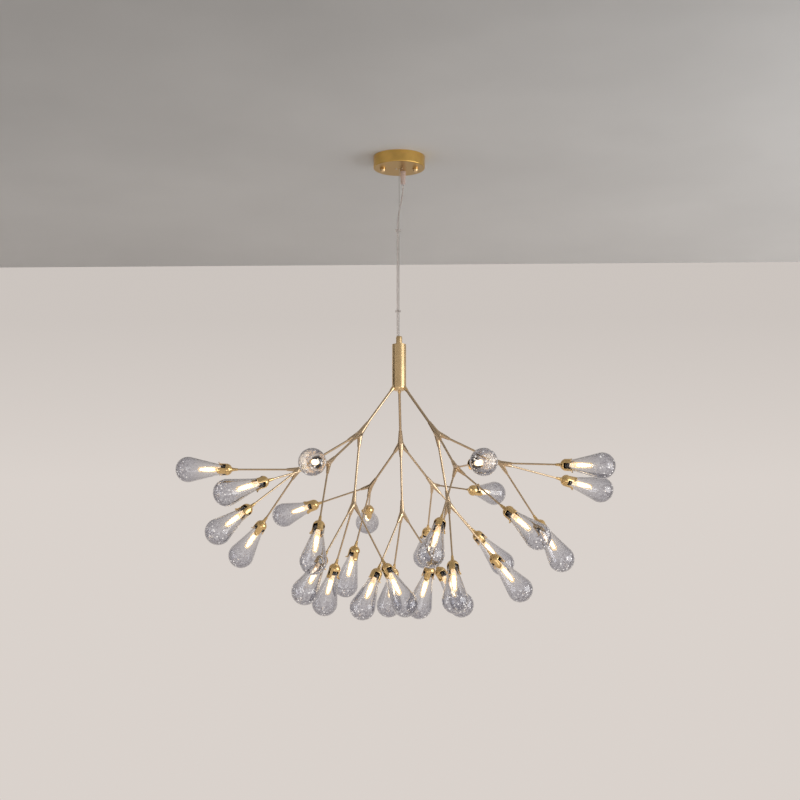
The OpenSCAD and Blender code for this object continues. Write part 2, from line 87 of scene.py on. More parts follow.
# The cord's route, in millimetres, from the gland's end to the ferrule. Counted from 0, point 7 lies in
# the upper clip and point 12 in the lower one.
CORD_ROUTE = (
    (9, 24, -58), (9, 24, -70), (8, 22, -84), (5, 17, -102), (2, 11, -120), (-1, 5, -140), (-3, 1, -160),
    (-3.5, 0, -177), (-3.5, 0, -215), (-3.5, 0, -253), (-3.5, 0, -291), (-3.5, 0, -329), (-3.5, 0, -369.5),
    (-3.5, 0, -399), (-3.2, 0, -421), (-3.2, 0, -438.2),
)


def bottom(node):
    """The height of a node's lowest point."""
    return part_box(node)[0][2]


class ChandelierSizes(bpy.types.PropertyGroup):
    """Sizes of the pieces that are modelled here, in metres and degrees."""

    apex_up: bpy.props.FloatProperty(
        name="Apex height", description="Where the arms' lines meet, above the hub tube's lower edge",
        default=9 * MM, unit="LENGTH")
    arm_turn: bpy.props.FloatProperty(
        name="Arm turn", description="Turn of the three arms round the hub",
        default=math.radians(208), subtype="ANGLE")
    arm_lean: bpy.props.FloatProperty(
        name="Arm lean", description="Lean of an arm from straight down",
        default=math.radians(37), subtype="ANGLE")
    fork_lean: bpy.props.FloatProperty(
        name="Fork lean", description="Lean of a fork's branches from the line before it",
        default=math.radians(32), subtype="ANGLE")
    arm_length: bpy.props.FloatProperty(
        name="Arm length", description="Apex to the middle of a first fork",
        default=165 * MM, unit="LENGTH")
    branch_length: bpy.props.FloatProperty(
        name="Branch length", description="First fork to second fork",
        default=160 * MM, unit="LENGTH")
    drop_at: bpy.props.FloatProperty(
        name="Drop distance", description="Second fork to the middle of a glass drop's ball",
        default=255 * MM, unit="LENGTH")
    drop_radius: bpy.props.FloatProperty(
        name="Drop radius", description="Radius of a glass drop's ball",
        default=29 * MM, unit="LENGTH")
    neck_radius: bpy.props.FloatProperty(
        name="Neck radius", description="Radius of a glass drop's neck",
        default=11.8 * MM, unit="LENGTH")
    glass_wall: bpy.props.FloatProperty(
        name="Glass wall", description="Thickness of the glass",
        default=1.5 * MM, unit="LENGTH")
    dome_radius: bpy.props.FloatProperty(
        name="Dome radius", description="Outside radius of a calyx's dome",
        default=13.5 * MM, unit="LENGTH")
    petal_length: bpy.props.FloatProperty(
        name="Petal length", description="Length of a petal beyond the dome",
        default=18 * MM, unit="LENGTH")
    petal_wall: bpy.props.FloatProperty(
        name="Petal wall", description="Thickness of the dome and petals",
        default=1.2 * MM, unit="LENGTH")
    cord_diameter: bpy.props.FloatProperty(
        name="Cord diameter", description="Outside diameter of the power cord",
        default=4.6 * MM, unit="LENGTH")


class ChandelierColours(bpy.types.PropertyGroup):
    """Colours of the finishes, as linear red, green and blue."""

    brass: bpy.props.FloatVectorProperty(
        name="Brass", description="Satin brass of the hub and its fittings",
        default=(0.84, 0.62, 0.34), subtype="COLOR", min=0, max=1)
    calyx: bpy.props.FloatVectorProperty(
        name="Calyx brass", description="Richer brass of the calyxes",
        default=(0.85, 0.60, 0.28), subtype="COLOR", min=0, max=1)
    tube: bpy.props.FloatVectorProperty(
        name="Tube brass", description="Paler brass of the tubes and forks",
        default=(0.69, 0.53, 0.35), subtype="COLOR", min=0, max=1)
    canopy: bpy.props.FloatVectorProperty(
        name="Canopy brass", description="Deeper brass of the canopy",
        default=(0.83, 0.53, 0.155), subtype="COLOR", min=0, max=1)
    smoke: bpy.props.FloatVectorProperty(
        name="Smoked glass", description="Tint of the glass drops",
        default=(0.81, 0.82, 0.855), subtype="COLOR", min=0, max=1)
    glow: bpy.props.FloatVectorProperty(
        name="Lamp glow", description="Light of the lamps",
        default=(1.0, 0.92, 0.76), subtype="COLOR", min=0, max=1)
    resin: bpy.props.FloatVectorProperty(
        name="Lamp foot", description="Amber resin at a lamp's foot",
        default=(0.86, 0.68, 0.40), subtype="COLOR", min=0, max=1)
    clear: bpy.props.FloatVectorProperty(
        name="Clear plastic", description="Slightly milky plastic of the cord and its clips",
        default=(0.86, 0.82, 0.80), subtype="COLOR", min=0, max=1)
    gland: bpy.props.FloatVectorProperty(
        name="Gland plastic", description="Milkier, pinkish plastic of the gland and its sleeve",
        default=(0.80, 0.66, 0.61), subtype="COLOR", min=0, max=1)
    wall: bpy.props.FloatVectorProperty(
        name="Wall", description="Pale wall behind the chandelier",
        default=(0.70, 0.645, 0.605), subtype="COLOR", min=0, max=1)
    ceiling: bpy.props.FloatVectorProperty(
        name="Ceiling", description="Grey ceiling above it",
        default=(0.50, 0.52, 0.53), subtype="COLOR", min=0, max=1)


def sizes():
    return bpy.context.scene.chandelier_sizes


def colours():
    return bpy.context.scene.chandelier_colours


# Modelling helpers


def deselect():
    """Leaves edit mode with nothing selected."""
    if bpy.context.mode != "OBJECT":
        bpy.ops.object.mode_set(mode="OBJECT")
    bpy.ops.object.select_all(action="DESELECT")


def only(piece):
    """Selects one piece alone and makes it active."""
    deselect()
    piece.select_set(True)
    bpy.context.view_layer.objects.active = piece


def named(name):
    """Names the piece that was just added, and settles its place into its mesh."""
    piece = bpy.context.active_object
    piece.name = piece.data.name = name
    bpy.ops.object.transform_apply(location=True, rotation=True, scale=True)
    return piece


def modified(piece, kind, **values):
    """Adds one modifier to a piece and applies it."""
    only(piece)
    modifier = piece.modifiers.new(kind.title(), kind)
    for key, value in values.items():
        setattr(modifier, key, value)
    bpy.ops.object.modifier_apply(modifier=modifier.name)
    return piece


def joined(name, pieces):
    """Joins pieces into one with the given name."""
    deselect()
    for piece in pieces:
        piece.select_set(True)
    bpy.context.view_layer.objects.active = pieces[0]
    if len(pieces) > 1:
        bpy.ops.object.join()
    return named(name)


def turned(name, outline, sides=48, closed=True):
    """A turned shape: a ring at the outline's first radius and height, extruded to each of the next ones.
    Its first ring is filled if the shape is to be closed."""
    radius, height = outline[0]
    deselect()
    bpy.ops.mesh.primitive_circle_add(vertices=sides, radius=radius, location=(0, 0, height))
    bpy.ops.object.mode_set(mode="EDIT")
    bpy.ops.mesh.select_all(action="SELECT")
    for next_radius, next_height in outline[1:]:
        bpy.ops.mesh.extrude_region_move(TRANSFORM_OT_translate={"value": (0, 0, next_height - height)})
        if next_radius == 0:
            bpy.ops.mesh.merge(type="CENTER")
            break
        grow = next_radius / radius
        bpy.ops.transform.resize(value=(grow, grow, 1), center_override=(0, 0, next_height))
        radius, height = next_radius, next_height
    if closed:
        bpy.ops.mesh.select_all(action="DESELECT")
        bpy.ops.mesh.select_non_manifold()
        bpy.ops.mesh.edge_face_add()
    bpy.ops.mesh.select_all(action="SELECT")
    bpy.ops.mesh.normals_make_consistent(inside=False)
    bpy.ops.object.mode_set(mode="OBJECT")
    piece = named(name)
    bpy.ops.object.shade_smooth()
    return piece


def arc(middle, radius, start, end, steps):
    """Points of an arc in the plane of radius and height, with angles in radians from straight out."""
    return [
        (max(0, middle[0] + radius * math.cos(a)), middle[1] + radius * math.sin(a))
        for a in (start + (end - start) * i / steps for i in range(steps + 1))
    ]


def copies(name, master, places):
    """One piece that holds a copy of the master at each place, each from its own mesh."""
    made = []
    for place in places:
        copy = master.copy()
        copy.data = master.data.copy()
        bpy.context.scene.collection.objects.link(copy)
        copy.data.transform(place)
        made.append(copy)
    return joined(name, made)


def discard(master):
    """Deletes a master piece once its copies are made."""
    only(master)
    bpy.ops.object.delete()


def dress(piece, *materials):
    """Gives a piece its materials, in slot order."""
    piece.data.materials.clear()
    for material in materials:
        piece.data.materials.append(material)


def dress_node(node, material):
    dress(frame["nodes"][node], material)


# Places of the branching: each puts +Z along its arm, branch or stem


def turn_lean(turn, lean):
    return Matrix.Rotation(turn, 4, "Z") @ Matrix.Rotation(lean, 4, "Y")


def along(distance):
    return Matrix.Translation((0, 0, distance))


def arm_place(side):
    s = sizes()
    apex = Matrix.Translation((0, 0, bottom("hub_tube") + s.apex_up))
    down = Matrix.Rotation(s.arm_turn, 4, "Z") @ Matrix.Rotation(math.pi, 4, "X")
    return apex @ down @ turn_lean(THIRD_TURN * side, s.arm_lean)


def first_fork_place(side):
    return arm_place(side) @ along(sizes().arm_length) @ Matrix.Rotation(
        math.radians(FIRST_FORK_TURNS[side]), 4, "Z")


def second_fork_place(side, branch):
    s = sizes()
    line = first_fork_place(side) @ turn_lean(THIRD_TURN * branch, s.fork_lean)
    return line @ along(s.branch_length) @ Matrix.Rotation(
        math.radians(SECOND_FORK_TURNS[side][branch]), 4, "Z")


def stem_places(side, branch):
    lean = sizes().fork_lean
    return [second_fork_place(side, branch) @ turn_lean(THIRD_TURN * third, lean) for third in THIRDS]


# Materials


def finish(name, **values):
    """A new material with a Principled shader, whose plain values are set on its own sockets."""
    material = bpy.data.materials.new(name)
    material.use_nodes = True
    tree = material.node_tree
    shader = tree.nodes["Principled BSDF"]
    for key, value in values.items():
        socket = shader.inputs[key.replace("_", " ")]
        is_colour = not isinstance(value, (int, float)) and len(value) == 3
        socket.default_value = (*value, 1) if is_colour else value
    return material, tree, shader


def noise(tree, scale, detail=4.0):
    """Noise on object coordinates, with the scale in features a metre."""
    place = tree.nodes.new("ShaderNodeTexCoord")
    texture = tree.nodes.new("ShaderNodeTexNoise")
    texture.inputs["Scale"].default_value = scale
    texture.inputs["Detail"].default_value = detail
    tree.links.new(place.outputs["Object"], texture.inputs["Vector"])
    return texture.outputs["Fac"]


def ramp(tree, value, low, high, low_value, high_value):
    """Maps a value's range onto another range, and holds it there."""
    node = tree.nodes.new("ShaderNodeMapRange")
    limits = {"From Min": low, "From Max": high, "To Min": low_value, "To Max": high_value}
    for key, number in limits.items():
        node.inputs[key].default_value = number
    tree.links.new(value, node.inputs["Value"])
    return node.outputs["Result"]


def product(tree, first, second):
    node = tree.nodes.new("ShaderNodeMath")
    node.operation = "MULTIPLY"
    tree.links.new(first, node.inputs[0])
    tree.links.new(second, node.inputs[1])
    return node.outputs[0]


def blend_colours(tree, factor, first, second):
    """A colour between two, each a colour of its own or another node's output."""
    node = tree.nodes.new("ShaderNodeMix")
    node.data_type = "RGBA"
    for key, colour in (("A", first), ("B", second)):
        if isinstance(colour, bpy.types.NodeSocket):
            tree.links.new(colour, node.inputs[key])
        else:
            node.inputs[key].default_value = (*colour, 1)
    tree.links.new(factor, node.inputs["Factor"])
    return node.outputs["Result"]


def uneven_polish(tree, shader, scale, low, high, detail=4.0):
    """A roughness that wanders between two values."""
    polish = ramp(tree, noise(tree, scale, detail), *NOISE_RANGE, low, high)
    tree.links.new(polish, shader.inputs["Roughness"])


def heights(tree):
    """The height of each point, in metres."""
    place = tree.nodes.new("ShaderNodeTexCoord")
    split = tree.nodes.new("ShaderNodeSeparateXYZ")
    tree.links.new(place.outputs["Object"], split.inputs["Vector"])
    return split.outputs["Z"]


def bumped(tree, shader, height, strength, distance):
    node = tree.nodes.new("ShaderNodeBump")
    node.inputs["Strength"].default_value = strength
    node.inputs["Distance"].default_value = distance
    tree.links.new(height, node.inputs["Height"])
    tree.links.new(node.outputs["Normal"], shader.inputs["Normal"])


def shade(colour, factor):
    return tuple(min(1, c * factor) for c in colour)


def seen_directly(tree, off_metal=0.6):
    """1 on rays of the camera and through glass, and the given share on rays off metal."""
    path = tree.nodes.new("ShaderNodeLightPath")
    seen = tree.nodes.new("ShaderNodeMath")
    seen.operation = "MAXIMUM"
    tree.links.new(path.outputs["Is Camera Ray"], seen.inputs[0])
    tree.links.new(path.outputs["Is Transmission Ray"], seen.inputs[1])
    if not off_metal:
        return seen.outputs[0]
    either = tree.nodes.new("ShaderNodeMath")
    either.operation = "MULTIPLY_ADD"
    either.use_clamp = True
    tree.links.new(path.outputs["Is Glossy Ray"], either.inputs[0])
    either.inputs[1].default_value = off_metal
    tree.links.new(seen.outputs[0], either.inputs[2])
    return either.outputs[0]


def satin_metal(name, colour, roughness, grain):
    """Satin metal with cloudy tone, uneven polish and a grain of the given strength."""
    material, tree, shader = finish(name, Metallic=1.0)
    uneven = 0.01 + 0.1 * grain
    cloud = ramp(tree, noise(tree, CLOUD_SCALE, 3), *NOISE_RANGE, 0, 1)
    tree.links.new(blend_colours(tree, cloud, shade(colour, 0.88), shade(colour, 1.06)),
                   shader.inputs["Base Color"])
    uneven_polish(tree, shader, POLISH_SCALE, roughness - uneven, roughness + uneven, detail=5)
    bumped(tree, shader, noise(tree, GRAIN_SCALE, 3), grain, 0.05 * MM)
    return material


def toward_tip(tree):
    """How far each point of a drop or lamp is towards its tip, as mark_length stores it."""
    mark = tree.nodes.new("ShaderNodeAttribute")
    mark.attribute_name = "toward_tip"
    return mark.outputs["Fac"]


def canopy_metal():
    """The canopy's deeper brass, with painted shade darkening its underside below its wall."""
    colour = colours().canopy
    material = satin_metal("canopy_brass", colour, 0.3, 0.12)
    tree = material.node_tree
    base = tree.nodes["Principled BSDF"].inputs["Base Color"]
    cloudy = base.links[0].from_socket
    underside = bottom("canopy_shell")
    out_of_painted_shade = ramp(tree, heights(tree), underside + 0.2 * MM, underside + 1.2 * MM, 0, 1)
    # Painted shade: the underside takes a darker copy of the brass, 0.58 of its colour, rising to the full
    # colour on the wall.
    tree.links.new(blend_colours(tree, out_of_painted_shade, shade(colour, 0.58), cloudy), base)
    return material


def smoked_glass():
    """Thin smoked glass, clear at its neck, darker edge-on and mottled at its tip, with white seeds there
    that are partly bubbles and partly painted glints that glow.
    """
    tint = colours().smoke
    # The emission colour is the glow of the painted glints on the seeds.
    material, tree, shader = finish("smoked_glass", IOR=1.5, Emission_Color=(1.0, 0.97, 0.94))
    near_clear, mottled, edge_on = (0.97, 0.96, 0.95), (0.55, 0.54, 0.58), (0.3, 0.29, 0.32)
    mottle_scale, seed_and_glint_scale = 200, 115
    tip = toward_tip(tree)
    body = blend_colours(tree, ramp(tree, tip, 0.15, 0.75, 0, 1), near_clear, tint)
    mottle = product(tree, ramp(tree, noise(tree, mottle_scale, 3), 0.48, 0.6, 0, 1),
                     ramp(tree, tip, 0.55, 0.9, 0, 1))
    body = blend_colours(tree, mottle, body, mottled)
    facing = tree.nodes.new("ShaderNodeLayerWeight")
    facing.inputs["Blend"].default_value = 0.3
    rim = blend_colours(tree, facing.outputs["Facing"], body, edge_on)
    # Seeds at the tip: bubbles with a bump, painted white, less clear and faintly glowing as painted
    # glints.
    seed_and_glint_cells = tree.nodes.new("ShaderNodeTexVoronoi")
    seed_and_glint_cells.inputs["Scale"].default_value = seed_and_glint_scale
    place = tree.nodes.new("ShaderNodeTexCoord")
    tree.links.new(place.outputs["Object"], seed_and_glint_cells.inputs["Vector"])
    seed_and_glint = product(tree, ramp(tree, seed_and_glint_cells.outputs["Distance"], 0.13, 0.25, 1, 0),
                   ramp(tree, tip, 0.68, 0.82, 0, 1))
    tree.links.new(blend_colours(tree, seed_and_glint, rim, (1.0, 1.0, 1.0)), shader.inputs["Base Color"])
    tree.links.new(ramp(tree, seed_and_glint, 0, 1, 1, 0.15), shader.inputs["Transmission Weight"])
    tree.links.new(ramp(tree, seed_and_glint, 0, 1, 0, 0.35), shader.inputs["Emission Strength"])
    tree.links.new(ramp(tree, seed_and_glint, 0, 1, 0, 0.2), shader.inputs["Roughness"])
    bumped(tree, shader, seed_and_glint, 0.4, 0.6 * MM)
    return material


def lamp_glow():
    """The bright core of a lamp."""
    return finish("lamp_glow", Base_Color=(0.9, 0.85, 0.75), Roughness=0.35,
                  Emission_Color=colours().glow, Emission_Strength=3.2)[0]


def lamp_shell():
    """Clouded shell that glows warmly round the core, amber at its foot."""
    material, tree, shader = finish("lamp_shell", Base_Color=(1.0, 0.9, 0.74), Roughness=0.5, IOR=1.3,
                                    Transmission_Weight=0.9)
    amber, warm = (1.0, 0.56, 0.18), (1.0, 0.68, 0.3)
    past_foot = ramp(tree, toward_tip(tree), 0.0, 0.35, 0, 1)
    tree.links.new(blend_colours(tree, past_foot, amber, warm), shader.inputs["Emission Color"])
    tree.links.new(ramp(tree, past_foot, 0, 1, 0.4, 0.22), shader.inputs["Emission Strength"])
    return material


def lamp_resin():
    """Amber resin with paler, brighter spots."""
    material, tree, shader = finish("lamp_resin", Base_Color=colours().resin, Roughness=0.25,
                                    Transmission_Weight=0.3, Emission_Strength=0.75)
    spot_scale, dim, bright = 380, (0.55, 0.32, 0.12), (1.0, 0.93, 0.8)
    spots = ramp(tree, noise(tree, spot_scale, 2), 0.42, 0.56, 0, 1)
    tree.links.new(blend_colours(tree, spots, dim, bright), shader.inputs["Emission Color"])
    return material


def holder_black():
    """Moulded dark plastic of the lampholders."""
    material, tree, shader = finish("holder_black", Specular_IOR_Level=0.5)
    tree.links.new(blend_colours(tree, noise(tree, scale=90), (0.012, 0.009, 0.007), (0.035, 0.027, 0.02)),
                   shader.inputs["Base Color"])
    uneven_polish(tree, shader, MOULDED_SCALE, 0.35, 0.6)
    bumped(tree, shader, noise(tree, scale=900), 0.2, 0.1 * MM)
    return material


def clear_plastic(name, milk, clearness):
    """Plastic that is milkier the less light it lets through."""
    material, tree, shader = finish(name, IOR=1.45, Transmission_Weight=clearness)
    tone = blend_colours(tree, noise(tree, scale=60), shade(milk, 0.92), milk)
    tree.links.new(tone, shader.inputs["Base Color"])
    uneven_polish(tree, shader, scale=400, low=0.12, high=0.3)
    return material


def white_plastic():
    """Moulded off-white plastic of the terminal block, the nut and the connector."""
    material, tree, shader = finish("white_plastic")
    tree.links.new(blend_colours(tree, noise(tree, scale=120), (0.72, 0.69, 0.62), (0.8, 0.78, 0.72)),
                   shader.inputs["Base Color"])
    uneven_polish(tree, shader, MOULDED_SCALE, 0.4, 0.55)
    bumped(tree, shader, noise(tree, scale=1200), 0.1, 0.1 * MM)
    return material


# Stage


def lens_for(pixels_of_focus):
    """The focal length in millimetres, from one in the photograph's pixels."""
    return pixels_of_focus / PHOTO_PIXELS * SENSOR_WIDTH


class CHANDELIER_OT_stage(bpy.types.Operator):
    """Adds the camera, the lights, the ceiling, the wall, the floor and the pale surroundings"""

    bl_idname = "chandelier.stage"
    bl_label = "Stage"

    camera_place = Vector((2.0, -4205.5, -1338.5)) * MM
    camera_pitch = math.radians(10.26)
    focus_pixels = 1871.6
    ceiling_end = 1.013
    ceiling_up = 0.6 * MM
    room_turn = math.radians(-1.6)
    room_width = 3.2
    ceiling_depth = 2.8
    floor_depth = -2.6
    floor_width = 24
    # How much lighter the painted light makes the ceiling for each metre to the right and towards the wall
    ceiling_painted_light_slope = (0.24, 0.6, 0)
    # The radii between which the ceiling opens, just inside the canopy's rim
    ceiling_opening = (58.5 * MM, 59.5 * MM)
    light_aim = Vector((0, 0, -0.75))
    card_aim = Vector((0, 0, -0.7))

    def execute(self, context):
        self.add_camera(context)
        self.add_room()
        self.add_lights()
        self.set_world(context.scene)
        context.scene.view_settings.view_transform = "Standard"
        return {"FINISHED"}

    def add_camera(self, context):
        deselect()
        bpy.ops.object.camera_add(location=self.camera_place,
                                  rotation=(math.pi / 2 + self.camera_pitch, 0, 0))
        camera = context.active_object
        camera.name = "camera"
        camera.data.sensor_width = SENSOR_WIDTH
        camera.data.lens = lens_for(self.focus_pixels)
        camera.data.clip_start = 0.05
        context.scene.camera = camera

    def add_room(self):
        """A ceiling and a wall that can be seen only from the front, and a plain pale floor."""
        self.add_plane("ceiling", (self.room_width, self.ceiling_depth),
                       (0, self.ceiling_end - self.ceiling_depth / 2, self.ceiling_up),
                       (math.pi, 0, self.room_turn), self.ceiling_paint())
        self.add_plane("floor", (self.floor_width, self.floor_width), (0, 0, self.floor_depth),
                       (0, 0, 0), self.floor_paint())
        self.add_plane("wall", (self.room_width, -self.floor_depth),
                       (0, self.ceiling_end, self.floor_depth / 2),
                       (math.pi / 2, 0, self.room_turn), self.wall_paint())

    def add_plane(self, name, size, place, turn, paint):
        """One flat piece of the stage, of the given width and depth."""
        deselect()
        bpy.ops.mesh.primitive_plane_add(size=1, location=place, rotation=turn)
        plane = bpy.context.active_object
        plane.scale = (*size, 1)
        plane = named(name)
        dress(plane, paint)
        return plane

    def ceiling_paint(self):
        """Grey paint, lighter to the right and towards the wall as painted light, cloudy, open over the
        canopy.
        """
        material, tree, shader = finish("ceiling_paint", Roughness=0.9)
        paint = colours().ceiling
        place = tree.nodes.new("ShaderNodeTexCoord")
        slope = tree.nodes.new("ShaderNodeVectorMath")
        slope.operation = "DOT_PRODUCT"
        slope.inputs[1].default_value = self.ceiling_painted_light_slope
        tree.links.new(place.outputs["Object"], slope.inputs[0])
        lit = tree.nodes.new("ShaderNodeMath")
        lit.operation = "ADD"
        tree.links.new(slope.outputs["Value"], lit.inputs[0])
        clouds = ramp(tree, noise(tree, scale=1.6, detail=3), *NOISE_RANGE, -0.16, 0.16)
        tree.links.new(clouds, lit.inputs[1])
        # Painted light: the ceiling runs from a darker to a lighter copy of its grey along the slope and
        # the clouds.
        tree.links.new(blend_colours(tree, ramp(tree, lit.outputs[0], -0.8, 0.8, 0, 1),
                                     shade(paint, 0.84), shade(paint, 1.46)), shader.inputs["Base Color"])
        reach = tree.nodes.new("ShaderNodeVectorMath")
        reach.operation = "LENGTH"
        tree.links.new(place.outputs["Object"], reach.inputs[0])
        opening = ramp(tree, reach.outputs["Value"], *self.ceiling_opening, 1, 0)
        self.clear_from_behind(material, self.cleared(tree, shader.outputs["BSDF"], opening))
        return material

    def wall_paint(self):
        """Pale paint, with painted shade darkening it just under the ceiling, that camera, metal and glass
        see evenly lit.
        """
        material, tree, shader = finish("wall_paint", Roughness=0.9)
        paint = colours().wall
        # Painted shade: the paint darkens to 0.86 of its colour towards the ceiling.
        tone = blend_colours(tree, ramp(tree, heights(tree), -0.62, -0.16, 0, 1), paint, shade(paint, 0.86))
        tree.links.new(tone, shader.inputs["Base Color"])
        self.clear_from_behind(material, self.plainly_seen(tree, shader, tone, 1.0))
        return material

    def plainly_seen(self, tree, shader, tone, share):
        """Mixes a paint with its own plain tone, by the given share, where it is seen directly."""
        plain = tree.nodes.new("ShaderNodeEmission")
        tree.links.new(tone, plain.inputs["Color"])
        mix = tree.nodes.new("ShaderNodeMixShader")
        tree.links.new(ramp(tree, seen_directly(tree), 0, 1, 0, share), mix.inputs["Fac"])
        tree.links.new(shader.outputs["BSDF"], mix.inputs[1])
        tree.links.new(plain.outputs["Emission"], mix.inputs[2])
        return mix.outputs["Shader"]

    def clear_from_behind(self, material, front):
        """Lets a view from the far side look through the surface."""
        tree = material.node_tree
        side = tree.nodes.new("ShaderNodeNewGeometry")
        surface = self.cleared(tree, front, side.outputs["Backfacing"])
        tree.links.new(surface, tree.nodes["Material Output"].inputs["Surface"])

    def cleared(self, tree, front, share):
        """A surface that can be looked through where the share is 1."""
        clear = tree.nodes.new("ShaderNodeBsdfTransparent")
        mix = tree.nodes.new("ShaderNodeMixShader")
        tree.links.new(share, mix.inputs["Fac"])
        tree.links.new(front, mix.inputs[1])
        tree.links.new(clear.outputs["BSDF"], mix.inputs[2])
        return mix.outputs["Shader"]

    def floor_paint(self):
        """Pale paint that keeps the chandelier's soft shadow."""
        material, tree, shader = finish("floor_paint", Roughness=0.7)
        paint = colours().wall
        tone = blend_colours(tree, noise(tree, scale=0.8), shade(paint, 1.06), shade(paint, 1.14))
        tree.links.new(tone, shader.inputs["Base Color"])
        tree.links.new(self.plainly_seen(tree, shader, tone, 0.7),
                       tree.nodes["Material Output"].inputs["Surface"])
        return material

    def add_lights(self):
        """Two windows, a soft fill, a glint, and dark cards that give metal and glass their edges."""
        for name, place, size, power in (
            ("window_right", (2.3, -0.9, -0.85), (2.4, 1.5), 34),
            ("window_left", (-2.4, -0.5, -0.95), (0.35, 1.7), 8),
            ("fill_front", (0.3, -3.4, -2.3), (2.2, 0.8), 8),
            ("glint_right", (2.2, -1.9, -0.4), (0.2, 0.2), 2),
        ):
            deselect()
            bpy.ops.object.light_add(type="AREA", location=place)
            light = bpy.context.active_object
            light.name = name
            light.data.shape = "RECTANGLE"
            light.data.size, light.data.size_y = size
            light.data.energy = power
            aim = self.light_aim - Vector(place)
            light.rotation_euler = aim.to_track_quat("-Z", "Y").to_euler()
            light.visible_camera = False
        felt = finish("dark_felt", Base_Color=(0.03, 0.028, 0.025), Roughness=1.0)[0]
        for name, place, size in (
            ("dark_card_left", (-1.7, 0.4, -0.8), (2.0, 1.5)),
            ("dark_card_right", (1.6, 0.75, -0.8), (1.1, 1.5)),
        ):
            aim = self.card_aim - Vector(place)
            card = self.add_plane(name, size, place, aim.to_track_quat("Z", "Y").to_euler(), felt)
            card.visible_camera = card.visible_diffuse = False
            card.visible_shadow = card.visible_transmission = False

    def set_world(self, scene):
        world = bpy.data.worlds.new("surroundings")
        scene.world = world
        world.use_nodes = True
        tree = world.node_tree
        back = tree.nodes["Background"]
        back.inputs["Color"].default_value = (*colours().wall, 1)
        back.inputs["Strength"].default_value = 0.7
        plain = tree.nodes.new("ShaderNodeBackground")
        plain.inputs["Color"].default_value = (*colours().wall, 1)
        mix = tree.nodes.new("ShaderNodeMixShader")
        tree.links.new(seen_directly(tree, off_metal=0), mix.inputs["Fac"])
        tree.links.new(back.outputs["Background"], mix.inputs[1])
        tree.links.new(plain.outputs["Background"], mix.inputs[2])
        tree.links.new(mix.outputs["Shader"], tree.nodes["World Output"].inputs["Surface"])


# Wire and cord


def smooth_route(points, steps=5):
    """A smooth line through the points of a route."""
    line = []
    for i in range(len(points) - 1):
        before = points[max(0, i - 1)]
        here, there = points[i], points[i + 1]
        after = points[min(len(points) - 1, i + 2)]
        for k in range(steps):
            t = k / steps
            line.append(0.5 * (2 * here + (there - before) * t
                               + (2 * before - 5 * here + 4 * there - after) * t * t
                               + (3 * here - before - 3 * there + after) * t * t * t))
    return line + [points[-1]]


class CHANDELIER_OT_cord(bpy.types.Operator):
    """Runs the clear power cord from its gland, down along the wire and into the ferrule"""

    bl_idname = "chandelier.cord"
    bl_label = "Power Cord"

    def execute(self, context):
        points = [Vector(p) * MM for p in CORD_ROUTE]
        line = smooth_route(points)
        diameter = sizes().cord_diameter
        curve = bpy.data.curves.new("power_cord", "CURVE")
        curve.dimensions = "3D"
        curve.bevel_depth = diameter / 2
        curve.bevel_resolution = 3
        curve.use_fill_caps = True
        spline = curve.splines.new("POLY")
        spline.points.add(len(line) - 1)
        for point, place in zip(spline.points, line):
            point.co = (*place, 1)
        cord = bpy.data.objects.new("power_cord", curve)
        context.scene.collection.objects.link(cord)
        only(cord)
        bpy.ops.object.convert(target="MESH")
        cord = context.active_object
        bpy.ops.object.shade_smooth()
        dress(cord, clear_plastic("cord_plastic", colours().clear, 0.72))
        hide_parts("power_cord_upper", "power_cord_lower")
        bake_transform(cord)
        return {"FINISHED"}


# Forks


